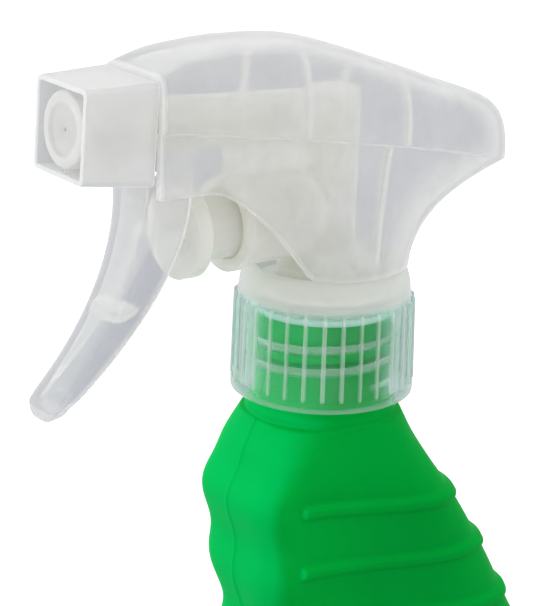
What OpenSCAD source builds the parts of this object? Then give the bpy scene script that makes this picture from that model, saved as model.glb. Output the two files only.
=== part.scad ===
/* [Bottle] */
// Height of the closure's lower rim above the base
closure_z = 172; // [160:1:185]
// Wall thickness of the blown bottle
bottle_wall = 1.1; // [1:0.1:1.6]
// Half width of the bottle's body
body_half_w = 26; // [24:0.5:28]
// Front of the bottle's body, ahead of the neck's axis
body_front = 25; // [23:0.5:27]
// Back of the bottle's body, behind the neck's axis
body_back = 58.5; // [55:0.5:62]
// Number of raised ribs round the sides and back
side_ribs = 4; // [2:1:4]
// How far a side rib stands proud
rib_proud = 1.0; // [0.5:0.1:1.5]

/* [Neck and closure] */
// Outer radius of the neck below its thread
neck_r = 12.5; // [12.3:0.1:12.7]
// Bore radius of the neck
neck_bore_r = 11; // [10.8:0.1:11.2]
// Height of the neck's lip above the closure's rim
neck_top = 15.4; // [15:0.1:15.4]
// Axial distance of one thread turn
thread_pitch = 4.233; // [4.2:0.001:4.3]
// Radius of the closure's bottom flange
flange_r = 17; // [16.8:0.1:17.5]
// Number of grip ribs round the closure
grip_ribs = 30; // [20:1:36]

/* [Spray head] */
// Upward tilt of the nozzle's axis, in degrees
nozzle_tilt = 3; // [0:0.5:5]
// Half width of the square nozzle at its front
nozzle_half_front = 8.05; // [7.9:0.05:8.2]
// Half width of the square nozzle at its back
nozzle_half_back = 9.05; // [8.8:0.05:9.2]
// Length of the nozzle cap
nozzle_len = 13.6; // [13.2:0.1:13.6]
// Wall thickness of the shroud
shroud_wall = 1.2; // [1:0.1:1.4]
// Half width of the trigger at its top
trigger_half_w = 7.3; // [7.2:0.05:7.4]
// Distance from the trigger's pivot down to the piston's axis
pivot_drop = 18.8; // [18:0.1:19]

/* [Pump] */
// Height of the piston's axis above the closure's rim
pump_z = 34.2; // [34:0.1:34.5]
// Bore radius of the pump's cylinder
pump_bore_r = 6.45; // [6.3:0.05:6.6]
// Outer radius of the pump's cylinder
pump_outer_r = 7.9; // [7.7:0.1:8]
// Outer radius of the dip tube
tube_r = 2.5; // [2.4:0.1:2.6]
// Bore radius of the dip tube
tube_bore_r = 1.7; // [1.5:0.1:1.8]

/* [Hidden] */
$fn = 64;

green = [0.02, 0.66, 0.3];
frosted = [0.88, 0.89, 0.9, 0.75];
clear_white = [0.85, 0.88, 0.86, 0.6];
warm_white = [0.93, 0.92, 0.83];
steel = [0.7, 0.71, 0.73];
soft_white = [0.95, 0.95, 0.93];

// ---------- helpers ----------

// Smooth curve through the rows of a table; column 0 is the running value
function row_slope(t, i, c) = let (a = max(i - 1, 0), b = min(i + 1, len(t) - 1))
    (t[b][c] - t[a][c]) / (t[b][0] - t[a][0]);
function row_below(t, v, i = 0) = i >= len(t) - 2 || v < t[i + 1][0] ? i : row_below(t, v, i + 1);
function curve(t, v, c = 1) = let (
        i = row_below(t, v),
        h = t[i + 1][0] - t[i][0],
        k = (v - t[i][0]) / h)
    t[i][c] * (2 * pow(k, 3) - 3 * k * k + 1)
    + t[i + 1][c] * (3 * k * k - 2 * pow(k, 3))
    + h * row_slope(t, i, c) * (pow(k, 3) - 2 * k * k + k)
    + h * row_slope(t, i + 1, c) * (pow(k, 3) - k * k);

function mix(a, b, k) = a + (b - a) * k;
function smooth(k) = let (c = min(max(k, 0), 1)) c * c * (3 - 2 * c);
function power(v, e) = sign(v) * pow(abs(v), e);

// Faces of a closed loft through rings of n points each, anticlockwise seen from the last ring
function loft_faces(rings, n) = concat(
    [[for (j = [0:n - 1]) j]],
    [for (i = [0:rings - 2], j = [0:n - 1], half = [0, 1])
        let (a = i * n + j, b = i * n + (j + 1) % n, c = a + n, d = b + n)
        half == 0 ? [a, c, d] : [a, d, b]],
    [[for (j = [n - 1:-1:0]) (rings - 1) * n + j]]);

module loft(rings) {
    n = len(rings[0]);
    polyhedron([for (r = rings, p = r) p], loft_faces(len(rings), n), convexity = 6);
}

// A screw ridge: its root lies in the wall and its crest stands r_crest from the axis
module thread(r_root, r_crest, root_h, crest_h, z, turns) {
    steps = 32;
    count = floor(turns * steps);
    ends = 6;
    side = sign(r_crest - r_root);
    loft([for (i = [0:count]) let (
            a = i * 360 / steps,
            rise = smooth(i / ends) * smooth((count - i) / ends),
            r = mix(r_root, r_crest, max(rise, 0.05)),
            zc = z + thread_pitch * i / steps)
        [for (p = [[r_root, -side * root_h], [r_root, side * root_h], [r, side * crest_h], [r, -side * crest_h]])
            [p[0] * cos(a), p[0] * sin(a), zc + p[1] / 2]]]);
}

// A coil round the +Z axis
module coil(r, wire_r, length, turns, side = 6, steps = 14) {
    count = turns * steps;
    loft([for (i = [0:count]) let (a = i * 360 / steps, zc = wire_r + (length - 2 * wire_r) * i / count)
        [for (k = [0:side - 1]) let (b = -k * 360 / side, rr = r + wire_r * cos(b))
            [rr * cos(a), rr * sin(a), zc + wire_r * sin(b)]]]);
}

module ring(r_out, r_in, h) {
    difference() {
        cylinder(r = r_out, h = h);
        translate([0, 0, -1]) cylinder(r = r_in, h = h + 2);
    }
}

module on_neck() { translate([0, 0, closure_z]) children(); }

// Along the piston's axis: +Z of the children points backwards, +Y
module along_pump(y) { translate([0, y, closure_z + pump_z]) rotate([-90, 0, 0]) children(); }

// Along the nozzle's axis: +Z of the children points backwards from the nozzle's front face
nozzle_front_y = -56.4;
nozzle_front_z = 54.9;
module along_nozzle(s) {
    on_neck() translate([0, nozzle_front_y, nozzle_front_z])
        rotate([-90 - nozzle_tilt, 0, 0]) translate([0, 0, s]) children();
}

// ---------- bottle ----------

// Body section by height: height, front, back, half width at the side, half width at the front,
// squareness of the front half, squareness of the back half
body_rows = [
    [0, -body_front + 3.5, body_back - 3.5, body_half_w - 3.5, body_half_w - 4.5, 3.2, 3.2],
    [1.2, -body_front + 1.4, body_back - 1.4, body_half_w - 1.4, body_half_w - 3, 3.3, 3.3],
    [4, -body_front + 0.2, body_back - 0.2, body_half_w - 0.2, body_half_w - 2.2, 3.4, 3.4],
    [14, -body_front, body_back, body_half_w, body_half_w - 2, 3.4, 3.6],
    [closure_z - 102, -body_front, body_back, body_half_w, body_half_w - 2, 3.4, 3.6],
    [closure_z - 80, -body_front + 2, body_back - 2.5, body_half_w - 1, 20.5, 3.4, 3.8],
    [closure_z - 62, -19.5, 47, 22.8, 15.5, 3.6, 4],
    [closure_z - 46, -17.3, 37.6, 21.3, 12.8, 4.2, 4.2],
    [closure_z - 38, -17.7, 33.2, 20.8, 12.6, 4.6, 4.3],
    [closure_z - 30, -19, 28.4, 20.6, 13.7, 5, 4.3],
    [closure_z - 19, -20.1, 20.8, 20.9, 12.9, 5, 4.3],
    [closure_z - 14, -19.1, 18.1, 19.5, 14, 4, 3.4],
    [closure_z - 9, -17.1, 16.1, 17.2, 14.4, 2.9, 2.6],
    [closure_z - 4, -14.6, 14.7, 14.6, 14, 2.2, 2.1],
    [closure_z - 0.6, -12.9, 12.9, 12.9, 12.9, 2, 2]];
// Where the section stops narrowing towards its front, and over what share of its length
taper_start = -0.67;
taper_span = 1.33;
rib_top_z = closure_z - 19.1;
rib_gap = 12;
rib_half = 1.7;
rib_start_y = -13;
wave_top_z = closure_z - 19;
wave_gap = 16;

// Height of a side rib's swell at height z
function rib_swell(z) = max([for (k = [0:side_ribs - 1])
    smooth(1.6 * (1 - abs(z - rib_top_z + k * rib_gap) / rib_half))]);
// Finger waves on the front of the grip
function wave_span(z, a) = smooth((-sin(a) - 0.2) * 2) * smooth((z - closure_z + 66) / 14)
    * smooth((closure_z - 8 - z) / 8);
function finger_wave(z) = 0.7 * cos(360 * (z - wave_top_z) / wave_gap);

function body_ring(z, inset, detail, n) = let (
        front = curve(body_rows, z, 1) + inset,
        back = curve(body_rows, z, 2) - inset,
        side_w = curve(body_rows, z, 3) - inset,
        front_w = curve(body_rows, z, 4) - inset,
        mid = (front + back) / 2,
        half = (back - front) / 2,
        ribs = rib_proud * rib_swell(z))
    [for (j = [0:n - 1]) let (
            a = (j + 0.5) * 360 / n,
            e = 2 / curve(body_rows, z, a > 180 ? 5 : 6),
            share = power(sin(a), e),
            y = mid + half * share,
            w = mix(front_w, side_w, smooth((share - taper_start) / taper_span)),
            swell = detail * (ribs * smooth((y - rib_start_y) / 2) + finger_wave(z) * wave_span(z, a)))
        [w * power(cos(a), e) + swell * cos(a), y + swell * sin(a), z]];

rib_zs = [for (k = [side_ribs - 1:-1:0], d = [-rib_half, -0.9, 0, 0.9, rib_half, 4.2, 7])
    rib_top_z - k * rib_gap + d];
low_zs = [0, 0.5, 1.2, 2.4, 4, 14, 42, 70, 80, 88, 96, 103, 109];
top_zs = [for (d = [9.5, 7, 4, 2, 0.6]) closure_z - d];
inner_zs = concat([bottle_wall, 2.4, 4, 8, 14, 70, 82, 94, 104], [for (d = [60:-8:12]) closure_z - d],
    [for (d = [9, 6, 3.5, 2]) closure_z - d]);

module bottle() {
    color(green) difference() {
        union() {
            loft([for (z = concat(low_zs, rib_zs, top_zs)) body_ring(z, 0, 1, 48)]);
            on_neck() rotate_extrude() polygon([[0, -6], [14.9, -3.6], [14.8, -2.8], [14, -2],
                [neck_r + 0.5, -0.7], [neck_r, 0], [neck_r, neck_top], [0, neck_top]]);
            on_neck() thread(neck_r - 0.4, 13.7, 2.2, 1.2, 5.2, 1.5);
        }
        loft([for (z = inner_zs) body_ring(z, bottle_wall, 0, 32)]);
        on_neck() translate([0, 0, -9]) cylinder(r = neck_bore_r, h = 9 + neck_top + 1);
    }
}

// ---------- closure ----------

closure_bore_r = 14.3;
closure_wall_r = 16.1;
ledge_z = 18.35;
ledge_hole_r = 10.6;
dome_top = 24.1;

module closure() {
    color(clear_white) on_neck() {
        rotate_extrude() polygon([[closure_bore_r, 0], [flange_r, 0], [flange_r, 1.9],
            [closure_wall_r + 0.3, 2.3], [closure_wall_r, 18.8], [15.9, 19.4], [15.6, 21.6],
            [14.9, 23.3], [14.3, dome_top], [13.2, dome_top], [13.9, 23], [14.5, 21.2],
            [14.6, ledge_z + 1.3], [ledge_hole_r, ledge_z + 1.3], [ledge_hole_r, ledge_z],
            [closure_bore_r, ledge_z]]);
        for (k = [0:grip_ribs - 1]) rotate([0, 0, k * 360 / grip_ribs])
            translate([closure_wall_r - 0.2, -0.45, 1.9]) cube([0.95, 0.9, 16.3]);
        thread(closure_bore_r + 0.3, 12.95, 1.6, 0.9, 5.2 - thread_pitch / 2, 1.25);
    }
}

module neck_gasket() {
    color(soft_white) on_neck() translate([0, 0, neck_top + 0.02]) ring(13.4, 10.6, 1.33);
}

// ---------- shroud ----------

shroud_front = -42;
shroud_tail = 38.6;
tail_start = 20;
skirt_r = 15.2;
skirt_z = 24.3;
skirt_start = -10.7;
nose_z = 42.8;
nose_end = -31.5;
ledge_step = 0.5;

// Half width of the shroud's side along its length
side_rows = [[shroud_front, 9.3], [-28, 10.5], [-8, 11.4], [8, 11.6], [tail_start, 11.2]];
// Height of the crown's ridge along its length
crest_rows = [[shroud_front, 63.9], [-36, 66.1], [-30, 67], [-22, 67.5], [-8, 66.5], [8, 61.5],
    [24, 54.8], [36, 46]];
// Squareness of the crown's section along its length, and at the middle of the tail
square_rows = [[shroud_front, 9], [-36, 5.6], [-26, 4.3], [8, 3.4], [tail_start, 3.2]];
tail_square = 2.2;
tail_ridge = 6.3;
function side_ledge_z(y) = let (d = y - shroud_front) 54.6 - 0.115 * d - 0.0007 * d * d;
function front_edge_z(y) = y < nose_end ? nose_z
    : mix(nose_z, skirt_z, pow((y - nose_end) / (skirt_start - nose_end), 1.5));

// Plan of the ledge, from the front corner along one side to the middle of the tail
side_cols = 14;
tail_cols = 8;
tail_power = 2 / 2.4;
function col_angle(k) = k <= side_cols ? 0 : 90 * (k - side_cols) / tail_cols;
function side_y(k) = mix(shroud_front, tail_start, min(k / side_cols, 1));
function ledge_point(k, inset) = let (phi = col_angle(k))
    [(curve(side_rows, side_y(k)) - inset) * pow(cos(phi), tail_power),
     side_y(k) + (shroud_tail - inset - tail_start) * pow(sin(phi), tail_power)];

// Plan and height of the lower edge under the same column
skirt_tail_angle = 41;
function edge_point(k, inset) = let (
        y = side_y(k),
        turn = k > side_cols ? mix(skirt_tail_angle, 90, (k - side_cols) / tail_cols)
            : asin(mix(skirt_start, skirt_r * sin(skirt_tail_angle),
                (y - skirt_start) / (tail_start - skirt_start)) / skirt_r),
        r = skirt_r - inset)
    y < skirt_start ? [curve(side_rows, y) - ledge_step - inset, y, front_edge_z(y)]
        : [r * cos(turn), r * sin(turn), skirt_z];

function lower_point(k, v, inset) = let (
        l = ledge_point(k, inset + ledge_step),
        b = edge_point(k, inset),
        tail_k = max(0, (k - side_cols / 2) / (side_cols / 2 + tail_cols)),
        g = pow(v, mix(1.3, 2.4, tail_k)))
    [mix(b[0], l[0], g), mix(b[1], l[1], g), mix(b[2], side_ledge_z(l[1]) - ledge_step, v)];

function upper_point(k, phi, inset) = let (
        l = ledge_point(k, inset),
        y = side_y(k) + tail_ridge * sin(col_angle(k)),
        n = 2 / mix(curve(square_rows, side_y(k)), tail_square, col_angle(k) / 90),
        top = curve(crest_rows, y) - inset,
        foot = side_ledge_z(l[1]))
    [l[0] * pow(cos(phi), n), mix(y, l[1], pow(cos(phi), n)), mix(foot, top, pow(sin(phi), n))];

lower_steps = 6;
upper_steps = 9;
rows_total = lower_steps + upper_steps + 1;
function shroud_column(k, inset) = concat(
    [for (i = [0:lower_steps]) lower_point(k, i / lower_steps, inset)],
    [for (i = [0:upper_steps - 1]) upper_point(k, 88 * i / (upper_steps - 1), inset)]);
half_cols = side_cols + tail_cols;
function mirror_x(p) = [-p[0], p[1], p[2]];
function shroud_columns(inset) = concat(
    [for (k = [0:half_cols]) shroud_column(k, inset)],
    [for (k = [half_cols - 1:-1:0]) [for (p = shroud_column(k, inset)) mirror_x(p)]]);

// Outer skin, inner skin, the lower edge and the front edge as one closed surface. The two
// halves of the crown meet in a narrow strip along the ridge.
module shroud_shell() {
    m = rows_total;
    n = 2 * half_cols + 1;
    outer = shroud_columns(0);
    inner = shroud_columns(shroud_wall);
    points = concat([for (c = outer, p = c) p], [for (c = inner, p = c) p]);
    base = n * m;
    grid = [for (k = [0:n - 2], i = [0:m - 2], half = [0, 1])
        let (a = k * m + i, b = a + m) half == 0 ? [a, a + 1, b + 1] : [a, b + 1, b]];
    ridge = [for (k = [0:half_cols - 1], half = [0, 1])
        let (a = k * m + m - 1, b = a + m, c = (n - 1 - k) * m + m - 1, d = c - m)
        k == half_cols - 1 ? (half == 0 ? [a, c, b] : [])
            : half == 0 ? [a, c, d] : [a, d, b]];
    skin = concat(grid, [for (f = ridge) if (len(f) > 0) f]);
    edge = [for (k = [0:n - 2], half = [0, 1]) let (a = k * m, b = a + m)
        half == 0 ? [a, b, b + base] : [a, b + base, a + base]];
    rim_line = concat([for (i = [0:m - 1]) i], [for (i = [m - 1:-1:0]) (n - 1) * m + i]);
    rim = [for (i = [0:len(rim_line) - 2], half = [0, 1]) let (a = rim_line[i], b = rim_line[i + 1])
        half == 0 ? [a, a + base, b + base] : [a, b + base, b]];
    polyhedron(points, concat(skin, [for (f = skin) [f[2] + base, f[1] + base, f[0] + base]], edge, rim),
        convexity = 8);
}

module shroud() { color(frosted) on_neck() shroud_shell(); }

// ---------- trigger ----------

pivot_y = -36.5;
pivot_z = pump_z + pivot_drop;
pin_r = 1.5;
trigger_wall = 1.2;
trigger_tip_w = 5.2;

function bezier(p, t) = p[0] * pow(1 - t, 3) + 3 * p[1] * t * pow(1 - t, 2)
    + 3 * p[2] * t * t * (1 - t) + p[3] * pow(t, 3);
front_curve = [[-42.6, 42], [-41.8, 29], [-50, 17], [-60.2, 7]];
back_curve = [[-34.6, 43.5], [-34.2, 33], [-42, 20], [-57, 8.2]];
curve_steps = 16;
tip = [-58.4, 6.2];
tip_r = 1.9;

// Side outline of the blade; grow moves its front and tip inwards for the hollow
function blade_side(grow) = concat(
    [for (i = [0:curve_steps]) bezier(front_curve, i / curve_steps) + [grow, 0]],
    [for (a = [180:30:300]) tip + (tip_r - grow) * [cos(a), sin(a)]],
    [for (i = [curve_steps:-1:0]) bezier(back_curve, i / curve_steps) + [grow > 0 ? 2 : 0, 0]]);

// Front outline of the blade: straight sides that narrow to a round tip
function blade_front(inset) = concat(
    [for (s = [1, -1]) [s * (trigger_half_w - inset), 60]],
    [[-trigger_half_w + inset, 40]],
    [for (a = [180:15:360]) [(trigger_tip_w - inset) * cos(a), 9.4 + (trigger_tip_w - inset) * sin(a)]],
    [[trigger_half_w - inset, 40]]);

module side_slab(points, half_w) {
    rotate([90, 0, 90]) translate([0, 0, -half_w]) linear_extrude(2 * half_w) polygon(points);
}
module front_slab(points) {
    translate([0, -20, 0]) rotate([90, 0, 0]) linear_extrude(60) polygon(points);
}

module trigger_arm() {
    side_slab([[-42.6, 40], [-41, 47], [-39.6, pivot_z], [-38.4, pivot_z + 2.2], [-36.5, pivot_z + 3],
        [-34.6, pivot_z + 2.2], [-33.4, pivot_z], [-34.2, 47], [-34.6, 41]], 0.5);
}

module trigger() {
    arm_x = trigger_half_w - trigger_wall / 2;
    color(frosted) on_neck() {
        difference() {
            intersection() {
                side_slab(blade_side(0), 10);
                front_slab(blade_front(0));
            }
            intersection() {
                side_slab(blade_side(1.3), 10);
                front_slab(blade_front(trigger_wall));
            }
        }
        for (s = [1, -1]) {
            translate([s * arm_x, 0, 0]) scale([trigger_wall, 1, 1]) trigger_arm();
            translate([s * (trigger_half_w - trigger_wall - 1.15 / 2), pivot_y, pivot_z])
                rotate([0, 90, 0]) cylinder(r = pin_r, h = 1.3, center = true);
        }
        translate([0, -36.1, pump_z]) rotate([0, 90, 0])
            cylinder(r = 1.6, h = 2 * trigger_half_w - 1.5, center = true);
        translate([-0.6, 0, 0]) side_slab([[-46.8, 22.6], [-43.6, 23.6], [-38.6, 32.6], [-36.1, 34], [-36.1, 35.6],
            [-42, 35.6]], 0.6);
        translate([0, -45.2, 22.5]) rotate([21.5, 0, 0])
            cube([2 * trigger_half_w - 3.8, 5, 1], center = true);
    }
}

// ---------- nozzle, barrel and swirl parts ----------

barrel_r = 5.6;
sleeve_r = 6.6;
nozzle_wall = 0.9;

module square_frustum(front, back, h) {
    loft([for (end = [[front, 0], [back, h]])
        [for (c = [[1, -1], [1, 1], [-1, 1], [-1, -1]]) [c[0] * end[0], c[1] * end[0], end[1]]]]);
}

module nozzle_cap() {
    slope = (nozzle_half_back - nozzle_half_front) / nozzle_len;
    color(frosted) along_nozzle(0) {
        difference() {
            square_frustum(nozzle_half_front, nozzle_half_back, nozzle_len);
            translate([0, 0, -1]) square_frustum(nozzle_half_front - nozzle_wall - slope,
                nozzle_half_back - nozzle_wall + slope, nozzle_len + 2);
        }
        difference() {
            union() {
                cylinder(r = sleeve_r, h = 12);
                for (a = [0, 90]) rotate([0, 0, a]) translate([-nozzle_half_front + 0.3, -0.45, 1.2])
                    cube([2 * nozzle_half_front - 0.6, 0.9, 10.5]);
            }
            translate([0, 0, 1.9]) cylinder(r = barrel_r + 0.08, h = 12);
            translate([0, 0, -1]) cylinder(r = 4.4, h = 1.4);
            translate([0, 0, -1]) cylinder(r = 0.4, h = 4);
        }
    }
}

module discharge_barrel() {
    color(warm_white) along_nozzle(0) difference() {
        union() {
            translate([0, 0, 2.2]) cylinder(r = barrel_r, h = 11.8);
            translate([0, 0, 14]) cylinder(r = 4.6, h = 1.5);
            translate([0, 0, 15.4]) cylinder(r = 3, h = 24.4);
        }
        translate([0, 0, 7]) cylinder(r = 1.5, h = 40);
        translate([0, 0, 1]) cylinder(r = 2.6, h = 6.1);
        translate([0, 0, 8]) ring(barrel_r + 1, barrel_r - 0.98, 1.2);
    }
}

module nozzle_seal() {
    color(soft_white) along_nozzle(8.6) rotate_extrude() translate([barrel_r - 0.46, 0]) circle(r = 0.5, $fn = 24);
}

module spinner() {
    color(soft_white) along_nozzle(2.4) difference() {
        cylinder(r = 2.55, h = 4.4);
        for (a = [0, 90]) rotate([0, 0, a]) translate([-3, -0.3, -1]) cube([6, 0.6, 1.5]);
        translate([0, 0, -1]) cylinder(r = 0.8, h = 1.5);
        for (a = [0:120:240]) rotate([0, 0, a]) translate([2.6, 0, 1.5]) cylinder(r = 0.5, h = 4);
    }
}

valve_s = 47.5;
valve_travel = 0.8;

module discharge_valve() {
    color(soft_white) along_nozzle(valve_s - 1.25) {
        cylinder(r = 2.5, h = 1.2);
        translate([0, 0, 1.1]) cylinder(r1 = 1.15, r2 = 0.7, h = 1.2);
        translate([0, 0, -1.2]) cylinder(r = 1.2, h = 1.3);
    }
}

module discharge_spring() {
    color(steel) along_nozzle(40) coil(1.95, 0.22, 6.2, 5);
}

// ---------- pump ----------

mouth_y = -23.2;
bore_end_y = -7;
riser_r = 5.2;
riser_bore_r = 1.6;
seat_bore_r = 4.2;
seat_top = 13.5;
plug_z = 8;
vent_r = 7.6;

module pump_solid() {
    on_neck() {
        translate([0, 0, 16.8]) cylinder(r = 13.5, h = 1.4);
        translate([0, 0, plug_z]) cylinder(r = 10.2, h = 9);
        translate([0, 0, 18]) cylinder(r = 9, h = 6);
        translate([0, 0, 23.9]) cylinder(r1 = 9, r2 = riser_r, h = 4);
        translate([0, 0, 18]) cylinder(r = riser_r, h = 38.4);
        translate([0, -13.5, 46]) cube([1.6, 19, 14], center = true);
        translate([0, 0, pivot_z]) translate([0, pivot_y, 0]) rotate([0, 90, 0])
            cylinder(r = 3.2, h = 12, center = true);
    }
    along_pump(mouth_y) cylinder(r = 8.6, h = 1.6);
    along_pump(mouth_y) cylinder(r = pump_outer_r, h = -9.5 - mouth_y);
    along_pump(-9.5) sphere(r = pump_outer_r);
    along_pump(-9.5) cylinder(r = riser_r, h = 9.5);
    along_nozzle(18.4) cylinder(r = 4.6, h = 38);
}

module pump_body() {
    color(warm_white) difference() {
        pump_solid();
        on_neck() {
            translate([0, 0, plug_z - 1]) cylinder(r = seat_bore_r, h = seat_top - plug_z + 1);
            translate([0, 0, plug_z]) cylinder(r = riser_bore_r, h = 44);
            for (s = [1, -1]) {
                translate([s * (trigger_half_w - trigger_wall - 0.6), pivot_y, pivot_z])
                    rotate([0, 90, 0]) cylinder(r = pin_r + 0.05, h = 1.4, center = true);
                translate([s * vent_r, 0, plug_z - 1]) cylinder(r = 0.7, h = 18);
            }
        }
        along_pump(mouth_y - 1) cylinder(r = pump_bore_r, h = bore_end_y - mouth_y + 1);
        along_pump(bore_end_y - 1) cylinder(r = riser_bore_r, h = 8);
        along_nozzle(16) cylinder(r = 3.02, h = valve_s - 16);
        along_nozzle(valve_s - 1) cylinder(r = 1.3, h = 9.8);
    }
}

module valve_seat() {
    color(soft_white) on_neck() difference() {
        union() {
            translate([0, 0, -3]) cylinder(r = 4.1, h = 10);
            translate([0, 0, 5.7]) cylinder(r = 6.9, h = 1.2);
            translate([0, 0, 5.7]) cylinder(r = seat_bore_r - 0.02, h = seat_top - 5.8);
        }
        translate([0, 0, -4]) cylinder(r = tube_r + 0.02, h = 9);
        translate([0, 0, 4]) cylinder(r = 1.3, h = 12);
        translate([0, 0, 8.4]) cylinder(r = 2.4, h = 8);
    }
}

ball_r = 2;
module inlet_ball() {
    color(steel) on_neck() translate([0, 0, 8.4 + sqrt(ball_r * ball_r - 1.3 * 1.3) + 0.005]) sphere(r = ball_r);
}

module vent_seal() {
    color(soft_white) on_neck() translate([0, 0, 6.95]) ring(9.4, 4.3, 1);
}

tube_end_z = 8;
module dip_tube() {
    color(clear_white) translate([0, 0, tube_end_z]) ring(tube_r, tube_bore_r, closure_z + 4.9 - tube_end_z);
}

module strainer() {
    color(soft_white) difference() {
        translate([0, 0, 5]) cylinder(r = 4, h = 12);
        translate([0, 0, tube_end_z - 0.02]) cylinder(r = tube_r + 0.02, h = 12);
        translate([0, 0, 6.2]) cylinder(r = tube_bore_r, h = 4);
        for (a = [0:60:300]) rotate([0, 0, a]) translate([0, -0.4, 4]) cube([5, 0.8, 2.4]);
    }
}

module piston() {
    color(warm_white) difference() {
        union() {
            along_pump(-33.6) cylinder(r = 8.5, h = 2.9);
            along_pump(-34.3) cylinder(r = 3, h = 1);
            along_pump(-31) cylinder(r = 6, h = 16.4);
        }
        along_pump(-28) cylinder(r = 4.6, h = 20);
        along_pump(-17.6) ring(7, 5.2, 2);
    }
}

module piston_seal() { color(soft_white) along_pump(-17.55) ring(pump_bore_r - 0.03, 5.22, 1.9); }

module return_spring() { color(steel) along_pump(-27.95) coil(3.9, 0.4, 20.9, 8); }

bottle();
closure();
neck_gasket();
shroud();
trigger();
nozzle_cap();
nozzle_seal();
spinner();
discharge_barrel();
discharge_spring();
discharge_valve();
pump_body();
piston();
piston_seal();
return_spring();
valve_seat();
inlet_ball();
vent_seal();
dip_tube();
strainer();
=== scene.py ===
"""Looks for the hand mister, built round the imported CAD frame. Shapes are worked out in millimetres."""

import math

import bmesh
import bpy
import numpy as np
from mathutils import Matrix, Vector


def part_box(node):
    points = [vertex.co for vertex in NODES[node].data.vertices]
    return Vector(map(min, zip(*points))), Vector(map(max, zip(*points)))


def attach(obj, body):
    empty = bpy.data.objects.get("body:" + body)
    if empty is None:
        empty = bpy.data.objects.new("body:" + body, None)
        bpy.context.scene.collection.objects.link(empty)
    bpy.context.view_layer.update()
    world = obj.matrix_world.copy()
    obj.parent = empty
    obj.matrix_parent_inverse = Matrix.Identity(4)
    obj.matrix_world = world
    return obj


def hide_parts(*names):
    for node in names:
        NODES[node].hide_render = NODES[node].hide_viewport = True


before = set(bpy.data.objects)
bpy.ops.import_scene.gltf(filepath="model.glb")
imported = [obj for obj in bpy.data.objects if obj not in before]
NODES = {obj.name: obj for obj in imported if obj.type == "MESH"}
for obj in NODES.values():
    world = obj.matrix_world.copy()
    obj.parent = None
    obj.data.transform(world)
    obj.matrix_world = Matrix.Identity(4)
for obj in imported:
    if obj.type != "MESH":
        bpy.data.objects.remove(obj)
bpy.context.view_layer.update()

MM = 0.001
CLOSURE_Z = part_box("closure")[0].z / MM  # the plane of the closure's lower rim


# ---------- small maths ----------

def mix(a, b, k):
    return a + (b - a) * k


def smooth(k):
    k = np.clip(k, 0.0, 1.0)
    return k * k * (3 - 2 * k)


def power(v, e):
    return np.sign(v) * np.abs(v) ** e


def curve(rows, v, column=1):
    """Smooth curve through the rows of a table whose first column is the running value."""
    t = np.array([r[0] for r in rows], float)
    c = np.array([r[column] for r in rows], float)
    v = np.asarray(v, float)
    slope = np.empty(len(t))
    slope[1:-1] = (c[2:] - c[:-2]) / (t[2:] - t[:-2])
    slope[0] = (c[1] - c[0]) / (t[1] - t[0])
    slope[-1] = (c[-1] - c[-2]) / (t[-1] - t[-2])
    i = np.clip(np.searchsorted(t, v, side="right") - 1, 0, len(t) - 2)
    h = t[i + 1] - t[i]
    k = (v - t[i]) / h
    return (c[i] * (2 * k**3 - 3 * k**2 + 1) + c[i + 1] * (3 * k**2 - 2 * k**3)
            + h * slope[i] * (k**3 - 2 * k**2 + k) + h * slope[i + 1] * (k**3 - k**2))


# ---------- mesh building ----------

def new_object(name, verts_mm, faces, smooth_angle=35.0, edges=None):
    """A smooth-shaded mesh. edges holds, for each point, how much it belongs to a wall's free edge."""
    mesh = bpy.data.meshes.new(name)
    mesh.from_pydata([tuple(v) for v in np.asarray(verts_mm, float) * MM], [], faces)
    layer = mesh.attributes.new("free_edge", "FLOAT", "POINT")
    layer.data.foreach_set("value", np.zeros(len(verts_mm)) if edges is None else np.asarray(edges, float))
    bm = bmesh.new()
    bm.from_mesh(mesh)
    bmesh.ops.remove_doubles(bm, verts=bm.verts, dist=2e-6)
    bmesh.ops.dissolve_degenerate(bm, edges=bm.edges, dist=1e-6)
    bmesh.ops.recalc_face_normals(bm, faces=bm.faces)
    bm.to_mesh(mesh)
    bm.free()
    mesh.polygons.foreach_set("use_smooth", [True] * len(mesh.polygons))
    mesh.set_sharp_from_angle(angle=math.radians(smooth_angle))
    obj = bpy.data.objects.new(name, mesh)
    bpy.context.scene.collection.objects.link(obj)
    return obj


def grid_faces(rows, cols, wrap_rows=False, wrap_cols=True, base=0):
    faces = []
    for i in range(rows if wrap_rows else rows - 1):
        for j in range(cols if wrap_cols else cols - 1):
            a = base + i * cols + j
            b = base + i * cols + (j + 1) % cols
            c = base + ((i + 1) % rows) * cols + j
            d = base + ((i + 1) % rows) * cols + (j + 1) % cols
            faces.append((a, b, d, c))
    return faces


def loft_data(rings, wrap_rows=False):
    """Points and faces of a skin through rings of equal length, with flat caps unless it wraps."""
    rings = [np.asarray(r, float) for r in rings]
    cols = len(rings[0])
    faces = grid_faces(len(rings), cols, wrap_rows)
    if not wrap_rows:
        faces.append(tuple(range(cols)))
        faces.append(tuple((len(rings) - 1) * cols + j for j in reversed(range(cols))))
    return np.concatenate(rings), faces


def loft(name, rings, wrap_rows=False, smooth_angle=35.0):
    return new_object(name, *loft_data(rings, wrap_rows), smooth_angle)


def join_parts(name, parts, smooth_angle=35.0):
    """One object from several closed skins, each given as points, faces and free edges."""
    verts, faces, edges = [], [], []
    for part in parts:
        base = sum(len(v) for v in verts)
        verts.append(np.asarray(part[0], float))
        faces += [tuple(base + i for i in f) for f in part[1]]
        edges.append(np.zeros(len(part[0])) if len(part) < 3 else np.asarray(part[2], float))
    return new_object(name, np.concatenate(verts), faces, smooth_angle, np.concatenate(edges))


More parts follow.
